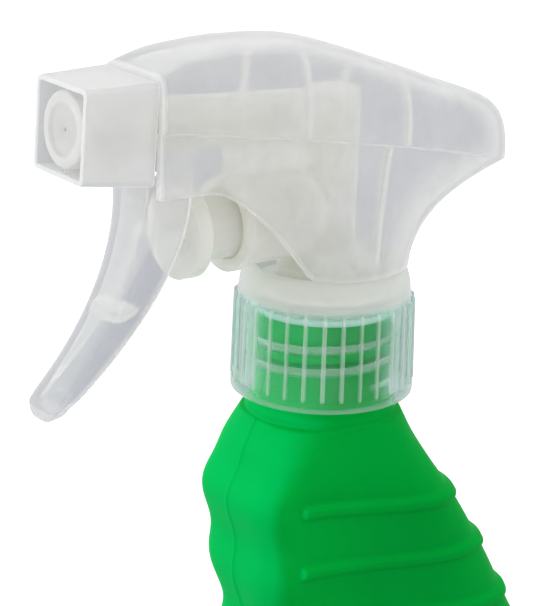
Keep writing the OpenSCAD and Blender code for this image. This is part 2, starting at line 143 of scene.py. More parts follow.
def round_corners(points, radius, steps=5):
    """A closed outline with each corner replaced by an arc-like curve."""
    pts = [np.array(p, float) for p in points]
    out = []
    for i, p in enumerate(pts):
        before, after = pts[i - 1] - p, pts[(i + 1) % len(pts)] - p
        r = radius[i] if isinstance(radius, (list, tuple)) else radius
        cut = min(r, 0.45 * np.linalg.norm(before), 0.45 * np.linalg.norm(after))
        a = p + before / np.linalg.norm(before) * cut
        b = p + after / np.linalg.norm(after) * cut
        for k in np.linspace(0, 1, steps):
            out.append((1 - k) ** 2 * a + 2 * k * (1 - k) * p + k * k * b)
    return out


def revolve(name, outline, cols, offset, edge, smooth_angle=35.0):
    """Turns a closed outline of (radius, height above the closure's rim) round the neck's axis.
    offset(radius, height, angles) pushes points outwards; edge(radius, height, push) is how much they
    belong to a free edge."""
    a = np.arange(cols) * 2 * math.pi / cols
    rings, edges = [], []
    for r, z in outline:
        push = offset(r, z, a)
        out = r + push
        rings.append(np.stack([out * np.cos(a), out * np.sin(a), np.full(cols, CLOSURE_Z + z)], 1))
        edges.append(edge(r, z, push))
    verts, faces = loft_data(rings, wrap_rows=True)
    return new_object(name, verts, faces, smooth_angle, np.concatenate(edges))


# ---------- node materials ----------

class Nodes:
    """A short way to write the node tree of a material, or of the world."""

    def __init__(self, name, world=False):
        self.owner = bpy.data.worlds.new(name) if world else bpy.data.materials.new(name)
        self.owner.use_nodes = True
        self.tree = self.owner.node_tree
        self.tree.nodes.clear()
        self.out = self.tree.nodes.new("ShaderNodeOutputWorld" if world else "ShaderNodeOutputMaterial")
        self.coords = self.tree.nodes.new("ShaderNodeTexCoord").outputs["Object"]

    def add(self, kind, inputs=None, **settings):
        node = self.tree.nodes.new(kind)
        for key, value in settings.items():
            setattr(node, key, value)
        for key, value in (inputs or {}).items():
            if isinstance(value, bpy.types.NodeSocket):
                self.tree.links.new(value, node.inputs[key])
            else:
                node.inputs[key].default_value = value
        return node

    def noise(self, scale, detail=2.0, rough=0.5, stretch=None):
        vector = self.coords
        if stretch is not None:
            vector = self.add("ShaderNodeMapping", {"Vector": vector, "Scale": stretch}).outputs[0]
        inputs = {"Vector": vector, "Scale": scale, "Detail": detail, "Roughness": rough}
        return self.add("ShaderNodeTexNoise", inputs).outputs["Fac"]

    def span(self, value, low, high, to_low=0.0, to_high=1.0):
        inputs = {"Value": value, "From Min": low, "From Max": high, "To Min": to_low, "To Max": to_high}
        return self.add("ShaderNodeMapRange", inputs).outputs[0]

    def math(self, operation, a, b=0.0):
        return self.add("ShaderNodeMath", {0: a, 1: b}, operation=operation).outputs[0]

    def colours(self, factor, low, high):
        node = self.add("ShaderNodeMix", data_type="RGBA")
        self.tree.links.new(factor, node.inputs[0])
        node.inputs[6].default_value = (*low, 1)
        node.inputs[7].default_value = (*high, 1)
        return node.outputs[2]

    def blend(self, factor, low, high):
        node = self.add("ShaderNodeMix", data_type="RGBA")
        for socket, value in ((0, factor), (6, low), (7, high)):
            self.tree.links.new(value, node.inputs[socket])
        return node.outputs[2]

    def bump(self, height, distance, strength=1.0, normal=None):
        inputs = {"Height": height, "Distance": distance, "Strength": strength}
        if normal is not None:
            inputs["Normal"] = normal
        return self.add("ShaderNodeBump", inputs).outputs[0]

    def finish(self, shader):
        self.tree.links.new(shader, self.out.inputs["Surface"])
        return self.owner


def green_hdpe():
    """Blow-moulded polyethylene: satin, with faint flow lines and orange peel. Its colour carries painted
    light: faces turned to the front are paler, faces turned up lighter and faces turned down darker, and
    the green darkens towards the back as painted shade."""
    n = Nodes("green_hdpe")
    flow = n.noise(55, 3, 0.55, (1.0, 1.0, 0.25))
    peel = n.noise(900, 2, 0.6)
    facing = n.add("ShaderNodeSeparateXYZ", {0: n.add("ShaderNodeNewGeometry").outputs["Normal"]}).outputs
    place = n.add("ShaderNodeSeparateXYZ", {0: n.coords}).outputs
    # painted light: this mask picks out the faces turned to the front (-y), which get the paler, lit green
    thin = n.add("ShaderNodeMapRange", {"Value": facing["Y"], "From Min": -0.35, "From Max": -0.8},
                 interpolation_type="SMOOTHSTEP")
    # painted light and shade: surfaces facing up are made up to a fifth lighter, surfaces facing down
    # darker
    painted_top_light = n.span(facing["Z"], -0.7, 0.7, 0.84, 1.2)
    # painted shade: the green darkens towards the back (+y), on top of the up/down light above
    shade = n.math("MULTIPLY", painted_top_light, n.span(place["Y"], -0.016, 0.008, 1.0, 0.82))
    # painted light: a darker, shaded copy of the green for the sides and a paler, lit copy for the front
    shaded_side_green = n.colours(n.span(flow, 0.3, 0.7), (0.0, 0.365, 0.04), (0.0, 0.395, 0.046))
    pale = n.colours(n.span(flow, 0.3, 0.7), (0.0, 0.495, 0.092), (0.0, 0.525, 0.099))
    plain = n.blend(thin.outputs[0], shaded_side_green, pale)
    base = n.add("ShaderNodeHueSaturation", {"Value": shade, "Color": plain}).outputs[0]
    rough = n.span(n.noise(140, 3), 0.3, 0.7, 0.42, 0.52)
    normal = n.bump(peel, 0.00004, 0.5, n.bump(flow, 0.0002, 0.3))
    skin = n.add("ShaderNodeBsdfPrincipled", {
        "Base Color": base, "Roughness": rough, "IOR": 1.5, "Specular IOR Level": 0.01, "Normal": normal,
        "Subsurface Weight": 0.4, "Subsurface Radius": (0.1, 1.0, 0.3), "Subsurface Scale": 0.001})
    return n.finish(skin.outputs[0])


def translucent_pp(name, colour, clear, rough, milk, edge_colour):
    """Thin translucent polypropylene: part seen straight through, the rest milky with light spreading
    in the wall. A wall's free edges, where the eye looks along the plastic, turn paler and denser."""
    n = Nodes(name)
    cloud = n.noise(90, 3, 0.5)
    peel = n.noise(700, 2, 0.5)
    edge = n.add("ShaderNodeAttribute", attribute_name="free_edge").outputs["Fac"]
    facing = n.add("ShaderNodeLayerWeight", {"Blend": 0.5}).outputs["Facing"]
    see = n.span(facing, 0.3, 1.0, clear, clear * 0.2)
    see = n.math("MULTIPLY", see, n.span(cloud, 0.25, 0.75, 0.94, 1.05))
    see = n.math("MULTIPLY", see, n.span(edge, 0, 1, 1, 0.15))
    normal = n.bump(peel, 0.00003, 0.35)
    along = n.span(facing, 0.35, 0.8, 0, 0.85)
    tint = n.colours(n.math("MAXIMUM", n.span(edge, 0, 0.6), along), colour, edge_colour)
    body = n.add("ShaderNodeBsdfPrincipled", {
        "Base Color": tint, "Roughness": n.span(cloud, 0.3, 0.7, rough * 0.85, rough * 1.15), "IOR": 1.3,
        "Transmission Weight": 1 - milk, "Subsurface Weight": 1.0, "Subsurface Radius": (1.0, 1.0, 1.0),
        "Subsurface Scale": 0.0012, "Normal": normal})
    faint = n.add("ShaderNodeGamma", {0: tint, 1: 0.25}).outputs[0]
    hole = n.add("ShaderNodeBsdfTransparent", {"Color": faint})
    both = n.add("ShaderNodeMixShader", {0: see, 1: body.outputs[0], 2: hole.outputs[0]})
    return n.finish(both.outputs[0])


def solid_plastic(name, colour, rough, glow=0.3):
    """Solid pale plastic with light that spreads under its skin."""
    n = Nodes(name)
    cloud = n.noise(120, 3, 0.5)
    base = n.colours(n.span(cloud, 0.3, 0.7), colour, tuple(c * 0.95 for c in colour))
    normal = n.bump(n.noise(800, 2), 0.00003, 0.4)
    skin = n.add("ShaderNodeBsdfPrincipled", {
        "Base Color": base, "Roughness": n.span(cloud, 0.3, 0.7, rough * 0.85, rough * 1.15),
        "Normal": normal, "IOR": 1.49, "Subsurface Weight": glow,
        "Subsurface Radius": (1.0, 0.95, 0.8), "Subsurface Scale": 0.002})
    return n.finish(skin.outputs[0])


def spring_steel():
    n = Nodes("spring_steel")
    draw = n.noise(400, 3, 0.6, (1.0, 6.0, 1.0))
    base = n.colours(n.span(draw, 0.3, 0.7), (0.55, 0.56, 0.58), (0.68, 0.69, 0.71))
    skin = n.add("ShaderNodeBsdfPrincipled", {
        "Base Color": base, "Metallic": 1.0, "Roughness": n.span(draw, 0.3, 0.7, 0.2, 0.34),
        "Normal": n.bump(draw, 0.00002, 0.4)})
    return n.finish(skin.outputs[0])


GREEN = green_hdpe()
FROSTED = translucent_pp("frosted_pp", colour=(0.96, 0.962, 0.965), clear=0.79, rough=0.36, milk=0.85,
                         edge_colour=(0.98, 0.98, 0.98))
CLEAR = translucent_pp("clear_pp", colour=(0.62, 0.96, 0.87), clear=0.93, rough=0.22, milk=0.7,
                       edge_colour=(0.97, 0.98, 0.93))
NATURAL = translucent_pp("natural_pp", colour=(0.975, 0.97, 0.90), clear=0.42, rough=0.4, milk=0.9,
                         edge_colour=(0.96, 0.96, 0.9))
SOFT = solid_plastic("soft_pe", (0.88, 0.88, 0.85), 0.5, 0.4)
DENSE = translucent_pp("frosted_pp_dense", colour=(0.975, 0.977, 0.975), clear=0.53, rough=0.36, milk=0.85,
                       edge_colour=(0.98, 0.98, 0.98))
TUBE = translucent_pp("tube_pe", colour=(0.92, 0.94, 0.94), clear=0.7, rough=0.2, milk=0.6,
                      edge_colour=(0.95, 0.95, 0.95))
STEEL = spring_steel()


def paint(obj, material, body=None):
    obj.data.materials.clear()
    obj.data.materials.append(material)
    if body:
        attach(obj, body)
    return obj


# ---------- bottle ----------

BODY_FRONT, BODY_BACK, BODY_HALF_W = 25.0, 58.5, 26.0
BOTTLE_WALL = 1.1
NECK_R, NECK_BORE_R, NECK_TOP, PITCH = 12.5, 11.0, 15.4, 4.233
SEAM_PROUD, SEAM_HALF = 0.32, 0.3
# height, front, back, half width at the side, half width at the front,
# squareness of the front half, squareness of the back half
BODY_ROWS = [
    (0, -BODY_FRONT + 3.5, BODY_BACK - 3.5, BODY_HALF_W - 3.5, BODY_HALF_W - 4.5, 3.2, 3.2),
    (1.2, -BODY_FRONT + 1.4, BODY_BACK - 1.4, BODY_HALF_W - 1.4, BODY_HALF_W - 3, 3.3, 3.3),
    (4, -BODY_FRONT + 0.2, BODY_BACK - 0.2, BODY_HALF_W - 0.2, BODY_HALF_W - 2.2, 3.4, 3.4),
    (14, -BODY_FRONT, BODY_BACK, BODY_HALF_W, BODY_HALF_W - 2, 3.4, 3.6),
    (CLOSURE_Z - 102, -BODY_FRONT, BODY_BACK, BODY_HALF_W, BODY_HALF_W - 2, 3.4, 3.6),
    (CLOSURE_Z - 80, -BODY_FRONT + 2, BODY_BACK - 2.5, BODY_HALF_W - 1, 20.5, 3.4, 3.8),
    (CLOSURE_Z - 62, -19.5, 47, 22.8, 15.5, 3.6, 4),
    (CLOSURE_Z - 46, -17.3, 37.6, 21.3, 12.8, 4.2, 4.2),
    (CLOSURE_Z - 38, -17.7, 33.2, 20.8, 12.6, 4.6, 4.3),
    (CLOSURE_Z - 30, -19, 28.4, 20.6, 13.7, 5, 4.3),
    (CLOSURE_Z - 19, -20.1, 20.8, 20.9, 12.9, 5, 4.3),
    (CLOSURE_Z - 14, -19.1, 18.1, 19.5, 14, 4, 3.4),
    (CLOSURE_Z - 9, -17.1, 16.1, 17.2, 14.4, 2.9, 2.6),
    (CLOSURE_Z - 4, -14.6, 14.7, 14.6, 14, 2.2, 2.1),
    (CLOSURE_Z - 0.6, -12.9, 12.9, 12.9, 12.9, 2, 2)]
# Where the section stops narrowing towards its front, and over what share of its length
TAPER_START, TAPER_SPAN = -0.67, 1.33
RIB_COUNT, RIB_GAP, RIB_HALF, RIB_PROUD, RIB_START_Y = 4, 12.0, 1.7, 1.0, -13.0
RIB_TOP_Z = CLOSURE_Z - 19.1
WAVE_TOP_Z, WAVE_GAP, WAVE_PROUD = CLOSURE_Z - 19, 16.0, 0.7
WAVES_FROM_Z, WAVES_TO_Z = CLOSURE_Z - 66, CLOSURE_Z - 8


def rib_swell(z):
    """How far the nearest side rib has risen at height z, from 0 to 1."""
    gap = min(abs(z - RIB_TOP_Z + k * RIB_GAP) for k in range(RIB_COUNT))
    return float(smooth(1.6 * (1 - gap / RIB_HALF)))


def finger_waves(z, angles):
    """Shallow waves for the fingers down the front of the grip."""
    across = smooth((-np.sin(angles) - 0.2) * 2)
    along = smooth((z - WAVES_FROM_Z) / 14) * smooth((WAVES_TO_Z - z) / 8)
    return WAVE_PROUD * math.cos(2 * math.pi * (z - WAVE_TOP_Z) / WAVE_GAP) * across * along


def body_ring(z, angles, inset=0.0, detail=1.0):
    """The bottle's section at height z, squarer and narrower towards its front."""
    front = float(curve(BODY_ROWS, z, 1)) + inset
    back = float(curve(BODY_ROWS, z, 2)) - inset
    side_w = float(curve(BODY_ROWS, z, 3)) - inset
    front_w = float(curve(BODY_ROWS, z, 4)) - inset
    s, c = np.sin(angles), np.cos(angles)
    e = np.where(s < 0, 2 / float(curve(BODY_ROWS, z, 5)), 2 / float(curve(BODY_ROWS, z, 6)))
    share = power(s, e)
    y = (front + back) / 2 + (back - front) / 2 * share
    x = mix(front_w, side_w, smooth((share - TAPER_START) / TAPER_SPAN)) * power(c, e)
    ribs = RIB_PROUD * rib_swell(z) * smooth((y - RIB_START_Y) / 1.5)
    swell = detail * (ribs + finger_waves(z, angles))
    seam = detail * SEAM_PROUD * np.exp(-(x / SEAM_HALF) ** 2)
    return np.stack([x + swell * c, y + (swell + seam) * s, np.full(len(angles), float(z))], 1)


SEAM_STEPS = [side * k for side in (-1, 1) for k in (0, 0.0002, 0.001, 0.003, 0.006, 0.01, 0.016, 0.024)]


def seam_angles(count):
    """Even steps round a section, with extra points beside the mould seam at front and back."""
    even = (np.arange(count) + 0.5) * 2 * math.pi / count
    fine = [side * math.pi / 2 + d for side in (-1, 1) for d in SEAM_STEPS]
    return np.unique(np.round(np.concatenate([even, np.array(fine) % (2 * math.pi)]), 6))


def thread_height(z, a, start, turns, root_half, crest_half):
    """How far up a helical ridge's flank a point lies, from 0 at its root to 1 at its crest."""
    turn = (z - start) / PITCH
    nearest = np.round(turn - a / (2 * math.pi)) + a / (2 * math.pi)
    gap = np.abs(turn - nearest) * PITCH
    flank = np.clip((root_half - gap) / (root_half - crest_half), 0, 1)
    ends = smooth((nearest + 0.02) * 6) * smooth((turns - nearest) * 6)
    return smooth(flank) * ends


def neck_ring(r, z, angles, threaded=True):
    """A round section at height z above the closure's rim, with the neck's thread on it."""
    rr = np.full(len(angles), float(r))
    if threaded:
        rr = rr + 1.2 * thread_height(z, angles % (2 * math.pi), 5.2, 1.5, 1.15, 0.5)
    return np.stack([rr * np.cos(angles), rr * np.sin(angles), np.full(len(angles), CLOSURE_Z + z)], 1)


# radius and height of the rings between the shoulder and the neck
SHOULDER_TOP = [(14.4, -4.2), (14.15, -3.95), (14.02, -3.6), (14.02, -3.2), (13.95, -2.8), (13.7, -2.3),
                (13.25, -1.7), (12.85, -1.1), (12.6, -0.5), (NECK_R, 0)]
# radius and height of the rings over the neck's lip and down its bore
NECK_LIP = [(NECK_R, 14.9), (12.35, 15.25), (12.0, NECK_TOP), (11.4, NECK_TOP), (11.1, 15.25),
            (NECK_BORE_R, 14.9), (NECK_BORE_R, 8), (NECK_BORE_R, 0), (NECK_BORE_R, -1.5), (11.6, -2.6)]


def bottle_shell():
    """Up the outside, over the neck's lip, and down the inside to the floor of the bottle."""
    angles = seam_angles(224)
    body_zs = np.concatenate([
        [0, 0.3, 0.7, 1.2, 2, 3, 4.5, 7, 14, 30, 50, 66],
        np.arange(72, CLOSURE_Z - 66, 3.0), np.arange(CLOSURE_Z - 66, CLOSURE_Z - 4.3, 0.45)])
    rings = [body_ring(z, angles) for z in body_zs]
    rings += [neck_ring(r, z, angles, False) for r, z in SHOULDER_TOP]
    rings += [neck_ring(NECK_R, z, angles) for z in np.arange(0.3, NECK_TOP - 0.5, 0.25)]
    rings += [neck_ring(r, z, angles, False) for r, z in NECK_LIP]
    inner_zs = np.concatenate([
        np.arange(CLOSURE_Z - 5, CLOSURE_Z - 70, -5), [96, 84, 70, 40, 14, 6, 3, 1.8, BOTTLE_WALL]])
    rings += [body_ring(z, angles, BOTTLE_WALL, 0.0) for z in inner_zs]
    piece = loft("bottle_shell", rings, smooth_angle=60)
    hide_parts("bottle")
    return paint(piece, GREEN, "bottle")


# ---------- closure ----------

GRIP_RIBS, FLANGE_R, CLOSURE_BORE_R, CLOSURE_WALL_R = 30, 17.0, 14.3, 16.1


def closure_offset(r, z, a):
    """Grip ribs that stand on the wall and the thread that stands in from the bore."""
    if r > 15.9 and 1.95 < z < 18.6:
        step = 2 * math.pi / GRIP_RIBS
        gap = np.abs((a + step / 2) % step - step / 2) * r
        ends = float(smooth((z - 1.9) / 0.5) * smooth((18.5 - z) / 0.7))
        return 0.72 * smooth((0.42 - gap) / 0.24) * ends
    if abs(r - CLOSURE_BORE_R) < 1e-6 and 0.6 < z < 12:
        start = 5.2 - PITCH / 2
        return -1.25 * thread_height(z, a, start, 2.4, 0.85, 0.4)
    return np.zeros(len(a))


def closure_edge(r, z, push):
    """Paler along the crests of the grip ribs and of the thread, in the flange and up the dome."""
    share = np.clip(np.abs(push) / 0.7, 0, 1) * (0.45 if r > 15 else 0.6)
    dome = float(smooth((z - 17.5) / 2)) * 0.68
    flange = 0.6 if z < 0.1 and r > 16 else 0.0
    return np.maximum(share, max(dome, flange))


def closure_cap():
    """Outline from the flange up the ribbed wall, over the dome, in to the lid's hole and down the bore."""
    outer = [(14.3, 0.25), (14.55, 0), (16.75, 0), (16.95, 0.12), (FLANGE_R, 0.4), (FLANGE_R, 1.5),
             (16.9, 1.85), (16.55, 2.05)]
    wall = [(mix(16.42, CLOSURE_WALL_R, k), mix(2.2, 18.3, k)) for k in np.linspace(0, 1, 40)]
    shoulder = [(16.08, 18.6), (15.95, 18.85), (15.9, 19.3), (15.8, 20.4), (15.6, 21.6), (15.3, 22.6),
                (14.95, 23.3), (14.6, 23.8), (14.3, 24.05), (13.9, 24.1), (13.4, 24.0), (13.4, 23.7),
                (13.9, 23), (14.3, 22), (14.5, 21), (14.6, 19.9), (14.5, 19.65), (10.8, 19.65),
                (10.6, 19.5), (10.6, 18.5), (10.8, 18.35), (13.9, 18.35), (14.3, 18.0)]
    bore = [(CLOSURE_BORE_R, z) for z in np.arange(17.5, 0.5, -0.3)]
    piece = revolve("closure_cap", outer + wall + shoulder + bore, 720, closure_offset, closure_edge)
    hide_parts("closure")
    return paint(piece, CLEAR, "closure")


# ---------- shroud ----------

SHROUD_FRONT, SHROUD_TAIL, TAIL_START = -42.0, 38.6, 20.0
SKIRT_R, SKIRT_Z, SKIRT_START = 15.2, 24.3, -10.7
NOSE_Z, NOSE_END, LEDGE_STEP, SHROUD_WALL = 42.8, -31.5, 0.5, 1.2
# Along the shroud: half width of its side, height of the crown's ridge, squareness of the crown's section
SIDE_ROWS = [(SHROUD_FRONT, 9.3), (-28, 10.5), (-8, 11.4), (8, 11.6), (TAIL_START, 11.2)]
CREST_ROWS = [(SHROUD_FRONT, 63.9), (-36, 66.1), (-30, 67), (-22, 67.5), (-8, 66.5), (8, 61.5), (24, 55.2),
              (36, 47)]
SQUARE_ROWS = [(SHROUD_FRONT, 9), (-36, 5.6), (-26, 4.3), (8, 3.4), (TAIL_START, 3.2)]
TAIL_SQUARE, TAIL_RIDGE, TAIL_PLAN = 2.7, 8.0, 2.5
LEDGE_DROP, LEDGE_DROP_START = 0.00008, 15.0  # the ledge turns down a little over the tail
TAIL_FALL = 0.2  # the tail leaves the end of the ridge on the ridge's own slope
SKIRT_TAIL_ANGLE = math.radians(41)


def ledge_z(y):
    """Height of the line that runs along the side of the head."""
    d = y - SHROUD_FRONT
    return 54.6 - 0.115 * d - 0.0007 * d * d - LEDGE_DROP * max(0.0, y - LEDGE_DROP_START) ** 3


def front_edge_z(y):
    """Height of the shroud's lower edge ahead of the skirt."""
    k = np.clip((y - NOSE_END) / (SKIRT_START - NOSE_END), 0, 1)
    return mix(NOSE_Z, SKIRT_Z, k**1.5)


def ledge_point(side, turn, inset):
    """Plan of the ledge. side runs 0 to 1 along the straight side, then turn runs 0 to 90 degrees."""
    y = mix(SHROUD_FRONT, TAIL_START, side)
    e = 2 / TAIL_PLAN
    return np.array([(float(curve(SIDE_ROWS, y)) - inset) * math.cos(turn) ** e,
                     y + (SHROUD_TAIL - inset - TAIL_START) * math.sin(turn) ** e])


def edge_point(side, turn, inset):
    """The shroud's lower edge: straight beside the trigger, then round the skirt over the closure."""
    y = mix(SHROUD_FRONT, TAIL_START, side)
    if y < SKIRT_START:
        return np.array([float(curve(SIDE_ROWS, y)) - LEDGE_STEP - inset, y, float(front_edge_z(y))])
    if turn > 0:
        angle = mix(SKIRT_TAIL_ANGLE, math.pi / 2, turn / (math.pi / 2))
    else:
        k = (y - SKIRT_START) / (TAIL_START - SKIRT_START)
        angle = math.asin(mix(SKIRT_START, SKIRT_R * math.sin(SKIRT_TAIL_ANGLE), k) / SKIRT_R)
    r = SKIRT_R - inset
    return np.array([r * math.cos(angle), r * math.sin(angle), SKIRT_Z])


LOWER_STEPS, UPPER_STEPS = 20, 28  # points up a column of the shroud, below and above its ledge
CROWN_ANGLES = np.radians(np.concatenate([
    np.linspace(0, 60, UPPER_STEPS // 2, endpoint=False),
    np.linspace(60, 90, UPPER_STEPS - UPPER_STEPS // 2)]))


def lower_points(side, turn, inset):
    """From the shroud's lower edge up to the small step under its ledge."""
    edge, low = edge_point(side, turn, inset), ledge_point(side, turn, inset + LEDGE_STEP)
    share = side * 0.5 + turn / (math.pi / 2) * 0.5
    bend = mix(1.3, 2.4, max(0.0, (share - 0.25) / 0.75))
    points = []
    for v in np.linspace(0, 1, LOWER_STEPS):
        g = v**bend
        points.append((mix(edge[0], low[0], g), mix(edge[1], low[1], g),
                       mix(edge[2], ledge_z(low[1]) - LEDGE_STEP, v)))
    return points


def crown_points(side, turn, inset):
    """From the ledge over the crown to its ridge in the middle plane."""
    ledge = ledge_point(side, turn, inset)
    straight = mix(SHROUD_FRONT, TAIL_START, side)
    ridge_y = straight + TAIL_RIDGE * math.sin(turn)
    e = 2 / mix(float(curve(SQUARE_ROWS, straight)), TAIL_SQUARE, turn / (math.pi / 2))
    top, foot = float(curve(CREST_ROWS, ridge_y)) - inset, ledge_z(ledge[1])
    points = []
    for phi in CROWN_ANGLES:
        c, s = max(math.cos(phi), 0.0) ** e, math.sin(phi) ** e
        y = mix(ridge_y, ledge[1], c)
        points.append((ledge[0] * c, y, mix(foot, top, s) - TAIL_FALL * (y - ridge_y) * (1 - c) ** 2))
    return points


def shroud_column(side, turn, inset):
    return lower_points(side, turn, inset) + crown_points(side, turn, inset)


def shroud_columns(inset, side_steps=64, tail_steps=28):
    """Columns of points round the whole shroud, from one side of its open front to the other."""
    half = [shroud_column(s, 0, inset) for s in np.linspace(0, 1, side_steps)]
    half += [shroud_column(1, t, inset) for t in np.linspace(0, math.pi / 2, tail_steps + 1)[1:]]
    half = np.array(half)
    other = half[-2::-1] * np.array([-1, 1, 1])
    return np.concatenate([half, other])


# Stiffening ribs inside each wall: place along the shroud, depth, and the points of the column they span
WALL_RIBS = [(-12.4, 1.6, LOWER_STEPS, 44), (9.7, 1.8, LOWER_STEPS, 44), (5.9, 1.6, 2, LOWER_STEPS)]
RIB_ROOT_HALF, RIB_CREST_HALF = 0.45, 0.3


def wall_rib(side, place, depth, first, last):
    """One stiffening rib; side is 1 for the wall at +x and -1 for the other."""
    share = (place - SHROUD_FRONT) / (TAIL_START - SHROUD_FRONT)
    column = shroud_column(share, 0, SHROUD_WALL * 0.6)
    rings = []
    for x, y, z in column[first:last]:
        crest = max(0.0, x - depth)
        ring = [(x, y - RIB_ROOT_HALF), (crest, y - RIB_CREST_HALF),
                (crest, y + RIB_CREST_HALF), (x, y + RIB_ROOT_HALF)]
        rings.append([(side * across, along, z + CLOSURE_Z) for across, along in ring])
    verts, faces = loft_data(rings)
    return verts, faces, np.full(len(verts), 0.95)


def shroud_shell():
    """The outer and the inner skin, closed along the lower edge and the open front, and the ribs inside."""
    outer, inner = shroud_columns(0), shroud_columns(SHROUD_WALL)
    cols, rows = outer.shape[:2]
    verts = np.concatenate([outer.reshape(-1, 3), inner.reshape(-1, 3)])
    verts[:, 2] += CLOSURE_Z
    base = cols * rows
    faces = grid_faces(cols, rows, wrap_cols=False)
    faces += [tuple(base + v for v in reversed(f)) for f in grid_faces(cols, rows, wrap_cols=False)]
    for k in range(cols - 1):
        a, b = k * rows, (k + 1) * rows
        faces.append((b, a, a + base, b + base))
    for i in range(rows - 1):
        faces.append((i, i + 1, i + 1 + base, i + base))
        a = (cols - 1) * rows + i
        faces.append((a + 1, a, a + base, a + 1 + base))
    rim = np.zeros((2, cols, rows))
    rim[:, :, 0] = 0.2
    rim[:, (0, -1), :] = 1
    ribs = [wall_rib(side, *rib) for rib in WALL_RIBS for side in (1, -1)]
    parts = [(verts, faces, rim.reshape(-1))] + ribs
    piece = join_parts("shroud_shell", parts, 32)
    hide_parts("shroud")
    return paint(piece, FROSTED, "head")


# ---------- trigger ----------

PUMP_Z, PIVOT_Y, PIVOT_Z = 34.2, -36.5, 53.0
# Cross web: place along the blade, half thickness, share of the depth left open at the back
WEB_AT, WEB_HALF, WEB_OPEN = 0.56, 0.016, 0.3
TRIGGER_WALL, TRIGGER_HALF_W, TRIGGER_TIP_W = 1.2, 7.3, 5.2
FRONT_CURVE = [(-42.9, 42), (-42.3, 29), (-50, 17), (-60.3, 6.6)]
BACK_CURVE = [(-34.6, 43.5), (-34.2, 33), (-42.4, 19), (-57.2, 7.2)]
TIP_HEADING, TIP_REACH = np.array([0, -0.3, -0.95]), 2.7
TIP_ROUND_Z, TIP_ROUND_R = 9.4, 5.6
BLADE_TOP_FRONT, BLADE_TOP_BACK = np.array([-42.6, 46.2]), np.array([-34.4, 46.8])
BLADE_CORNER = 0.55  # share of the blade's depth at which its side starts to round into its front


def bezier(points, t):
    p = [np.array(q, float) for q in points]
    return p[0] * (1 - t)**3 + 3 * p[1] * t * (1 - t)**2 + 3 * p[2] * t * t * (1 - t) + p[3] * t**3


def blade_sides(t):
    """Front and back of the blade in its middle plane; t runs from -1 at the top to 1 near the tip."""
    front, back = bezier(FRONT_CURVE, max(t, 0)), bezier(BACK_CURVE, max(t, 0))
    return mix(front, BLADE_TOP_FRONT, max(-t, 0)), mix(back, BLADE_TOP_BACK, max(-t, 0))


def tip_narrowing(z):
    """Seen from ahead the blade ends in a half circle; share of its width left at height z."""
    return math.sqrt(max(1 - (max(TIP_ROUND_Z - z, 0) / TIP_ROUND_R) ** 2, 0.02))


def blade_half_width(t):
    """The blade narrows downwards and ends round."""
    front, back = blade_sides(t)
    width = mix(TRIGGER_HALF_W, TRIGGER_TIP_W, float(smooth(t * 0.95)))
    return width * tip_narrowing((front[1] + back[1]) / 2)


def blade_depths():
    """Half of the blade's U, from its back edge to the middle of its front: shares of width and depth."""
    side = [(1.0, d) for d in (0, 0.06, 0.09, 0.2, 0.38)]
    corner = [(math.cos(a) ** (2 / 3.6), mix(BLADE_CORNER, 1, math.sin(a) ** (2 / 3.6)))
              for a in np.radians(np.linspace(0, 90, 17))]
    return side + corner


def blade_section(t, inset, hollow=1.0):
    """A rounded U open to the back, from one back edge round the front to the other."""
    front, back = blade_sides(t)
    front = front + (back - front) / np.linalg.norm(back - front) * inset
    width = blade_half_width(t) - inset
    half = []
    for across, depth in blade_depths():
        y, z = mix(back, front, depth * hollow)
        half.append((width * across, y, z + CLOSURE_Z))
    return half + [(-x, y, z) for x, y, z in half[-2::-1]]


def blade():
    """The curved blade, hollow at the back, closing to a solid rounded tip."""
    rings, edges = [], []
    for t in np.concatenate([[-1, -0.5], np.linspace(0, 1, 64)]):
        floor = 1 - float(smooth((t - 0.9) / 0.08)) * 0.96
        outer, inner = blade_section(t, 0), blade_section(t, TRIGGER_WALL, floor)
        rings.append(outer + inner[::-1])
        rim = [1.0, 1.0] + [0.0] * (len(outer) - 4) + [1.0, 1.0]
        edges += rim + rim[::-1]
    end = np.array(rings[-1])
    centre = end.mean(axis=0)
    mid_z = centre[2] - CLOSURE_Z
    for turn in np.radians((10, 20, 30, 40, 50, 60, 70, 78, 85)):
        drop = TIP_HEADING * TIP_REACH * math.sin(turn)
        narrow = tip_narrowing(mid_z + drop[2]) / tip_narrowing(mid_z) * math.cos(turn) ** 0.3
        thin = math.cos(turn) ** 0.6
        rings.append(centre + (end - centre) * np.array([narrow, thin, thin]) + drop)
        edges += [0.35] * len(end)
    verts, faces = loft_data(rings)
    return verts, faces, edges


def cross_web():
    """A thin plate across the hollow of the blade, short of its open back."""
    rings = []
    for t in (WEB_AT - WEB_HALF, WEB_AT + WEB_HALF):
        back, front = bezier(BACK_CURVE, t), bezier(FRONT_CURVE, t)
        ring = []
        for x, y, z in blade_section(t, TRIGGER_WALL * 0.6):
            depth = np.dot((y, z - CLOSURE_Z) - back, front - back) / np.dot(front - back, front - back)
            if depth >= WEB_OPEN - 0.05:
                ring.append((x, y, z))
        rings.append(ring)
    verts, faces = loft_data(rings)
    return verts, faces, np.full(len(verts), 0.9)


# Outlines in the (y, z) plane of the arms beside the pivot and of the rib that backs the pad
ARM = [(-41.9, 44.5), (-41.1, 47), (-39.7, PIVOT_Z), (-38.4, PIVOT_Z + 2.4),
       (-34.6, PIVOT_Z + 2.4), (-33.3, PIVOT_Z), (-34.2, 47), (-34.9, 44.5)]
PAD_RIB = [(-46.4, 23.4), (-43.6, 24.4), (-38.4, 32.6), (-36.1, 34), (-36.1, 35.6), (-41.8, 36)]
PIN_R, PIN_REACH, PAD_R, PAD_Y, PAD_HALF, PAD_RIB_HALF = 1.5, 2.35, 1.6, -36.1, 6.5, 0.6


